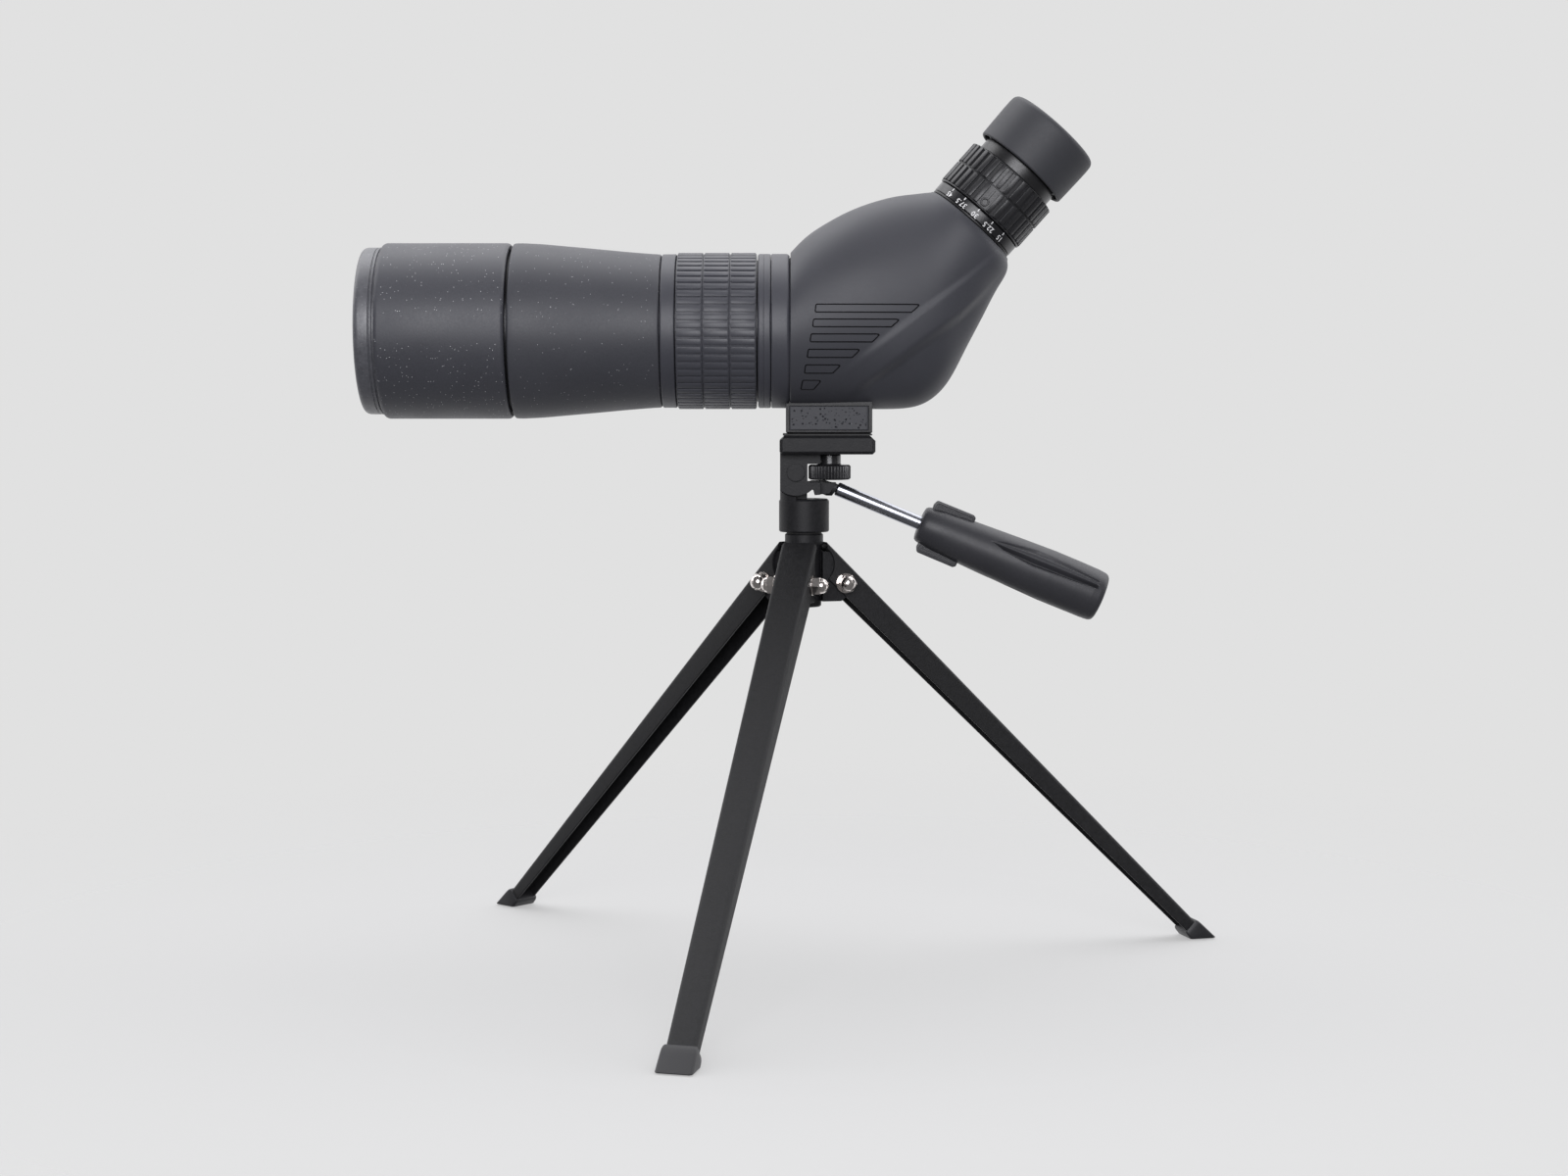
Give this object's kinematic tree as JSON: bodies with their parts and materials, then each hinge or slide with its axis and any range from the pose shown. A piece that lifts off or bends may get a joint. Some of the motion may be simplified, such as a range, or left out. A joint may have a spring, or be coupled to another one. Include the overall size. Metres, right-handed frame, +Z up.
{
  "type": "spotting scope",
  "caption": "Angled spotting scope with zoom eyepiece, focus ring and sliding sunshade, on a small folding table-top tripod with pan and tilt head and handle.",
  "frame": {"origin": "on the ground on the tripod column's axis", "axes": "+Z up, optical axis along X with the objective towards -X and the eyepiece towards +X; the tilt axis is along Y"},
  "size_m": [0.3789, 0.3266, 0.3754],
  "materials": {
    "rubber_armour": "matte soft-touch rubber with fine pale specks",
    "grip_rubber": "matte moulded rubber",
    "zoom_grip_black": "satin moulded rubber",
    "eyecup_rubber": "satin rubber",
    "seal_rubber": "matte",
    "foot_rubber": "matte rubber",
    "cap_plastic": "fine-grain semi-gloss plastic",
    "black_moulding": "matte moulded plastic",
    "inner_moulding": "matte moulded plastic",
    "foot_texture": "spark-textured grey plastic",
    "scale_black": "satin black with white dial figures",
    "gloss_black": "gloss black",
    "handle_plastic": "satin moulded plastic",
    "powder_coat": "semi-matt black powder coat on zinc casting",
    "leg_coat": "fine-textured black powder coat on sheet steel",
    "anodised_tube": "black anodised",
    "zinc_steel": "zinc plated steel",
    "nickel": "nickel plate",
    "chrome_rod": "polished chrome",
    "brass": "turned",
    "coated_glass": "coated optical glass",
    "prism_glass": "optical glass"
  },
  "bodies": {
    "hub": {"leg_hub": "powder_coat", "pan_friction_washer": "seal_rubber", "pan_spring_washer": "zinc_steel", "hinge_bolts": "nickel", "acorn_nuts": "nickel", "bolt_washers": "nickel"},
    "pan": {"pan_base": "powder_coat", "pan_spindle": "zinc_steel"},
    "scope": {"tilt_head": "powder_coat", "plate_pad": "seal_rubber", "tilt_pin": "zinc_steel", "mounting_foot": "black_moulding", "foot_inserts": "foot_texture", "foot_screws": "zinc_steel", "prism_housing": "inner_moulding", "housing_armour": "rubber_armour", "eyepiece_seat": "black_moulding", "scale_ring": "scale_black", "eyepiece_barrel": "gloss_black", "eyecup": "eyecup_rubber", "field_stop": "anodised_tube", "eye_lens_cell": "anodised_tube", "eye_lens": "coated_glass", "eye_lens_ring": "gloss_black", "barrel_tube": "anodised_tube", "barrel_armour": "rubber_armour", "front_ring": "black_moulding", "rear_ring": "rubber_armour", "housing_collar": "rubber_armour", "objective_cell": "anodised_tube", "objective_crown": "coated_glass", "objective_flint": "coated_glass", "objective_retainer": "anodised_tube", "sunshade_glide_ring": "seal_rubber", "roof_prism": "prism_glass", "prism_cage": "anodised_tube", "prism_clip": "zinc_steel"},
    "clamp": {"clamp_knob": "gloss_black", "clamp_screw": "zinc_steel"},
    "handle": {"handle_rod": "chrome_rod", "handle_grip": "handle_plastic"},
    "right_leg": {"right_leg": "leg_coat", "right_foot": "foot_rubber"},
    "left_leg": {"left_leg": "leg_coat", "left_foot": "foot_rubber"},
    "front_leg": {"front_leg": "leg_coat", "front_foot": "foot_rubber"},
    "sunshade": {"sunshade": "rubber_armour"},
    "cap": {"objective_cap": "cap_plastic"},
    "focus_ring": {"focus_ring": "inner_moulding", "focus_grip": "grip_rubber"},
    "focus_cell": {"focus_cell": "anodised_tube", "focus_lens": "coated_glass", "focus_pin": "brass"},
    "zoom_ring": {"zoom_ring": "inner_moulding", "zoom_grip": "zoom_grip_black"},
    "zoom_front": {"zoom_front_cell": "anodised_tube", "zoom_front_lens": "coated_glass"},
    "zoom_rear": {"zoom_rear_cell": "anodised_tube", "zoom_rear_lens": "coated_glass"}
  },
  "joints": [
    {"name": "pan_turn", "type": "hinge", "parent": "hub", "child": "pan", "pos_m": [0, 0, 0.1932], "axis": [0, 0, 1], "continuous": true},
    {"name": "tilt", "type": "hinge", "parent": "pan", "child": "scope", "pos_m": [-0.0036, 0, 0.2149], "axis": [0, 1, 0], "range_deg": [-45, 4]},
    {"name": "handle_twist", "type": "hinge", "parent": "scope", "child": "handle", "pos_m": [-0.0036, 0, 0.2149], "axis": [0.9239, 0, -0.3827], "continuous": true},
    {"name": "clamp_turn", "type": "hinge", "parent": "scope", "child": "clamp", "pos_m": [0.01105, 0, 0.2152], "axis": [0, 0, 1], "continuous": true},
    {"name": "sunshade_slide", "type": "slide", "parent": "scope", "child": "sunshade", "axis": [-1, 0, 0], "range_m": [0, 0.034]},
    {"name": "cap_pull", "type": "slide", "parent": "sunshade", "child": "cap", "axis": [-1, 0, 0], "range_m": [0, 0.04]},
    {"name": "focus_turn", "type": "hinge", "parent": "scope", "child": "focus_ring", "pos_m": [-0.037, 0, 0.2755], "axis": [1, 0, 0], "range_deg": [-150, 150]},
    {"name": "focus_travel", "type": "slide", "parent": "scope", "child": "focus_cell", "axis": [1, 0, 0], "range_m": [-0.008, 0.008]},
    {"name": "zoom_turn", "type": "hinge", "parent": "scope", "child": "zoom_ring", "pos_m": [0.0306, 0, 0.2755], "axis": [0.6652, 0, 0.7466], "range_deg": [-43, 43]},
    {"name": "zoom_front_travel", "type": "slide", "parent": "scope", "child": "zoom_front", "axis": [0.6652, 0, 0.7466], "range_m": [-0.005, 0.005]},
    {"name": "zoom_rear_travel", "type": "slide", "parent": "scope", "child": "zoom_rear", "axis": [0.6652, 0, 0.7466], "range_m": [-0.004, 0.004]},
    {"name": "front_leg_fold", "type": "hinge", "parent": "hub", "child": "front_leg", "pos_m": [-0.00419, -0.01596, 0.1667], "axis": [0.9673, -0.2538, 0], "range_deg": [0, 45.5]},
    {"name": "left_leg_fold", "type": "hinge", "parent": "hub", "child": "left_leg", "pos_m": [-0.01226, 0.01104, 0.1667], "axis": [-0.6691, -0.7431, 0], "range_deg": [0, 45.5]},
    {"name": "right_leg_fold", "type": "hinge", "parent": "hub", "child": "right_leg", "pos_m": [0.01586, 0.00455, 0.1667], "axis": [-0.2756, 0.9613, 0], "range_deg": [0, 45.5]}
  ],
  "couplings": [
    {"joint": "focus_travel", "follows": "focus_turn", "m_per_rad": 0.0030555},
    {"joint": "zoom_front_travel", "follows": "zoom_turn", "m_per_rad": 0.0066616},
    {"joint": "zoom_rear_travel", "follows": "zoom_turn", "m_per_rad": -0.0053293}
  ]
}
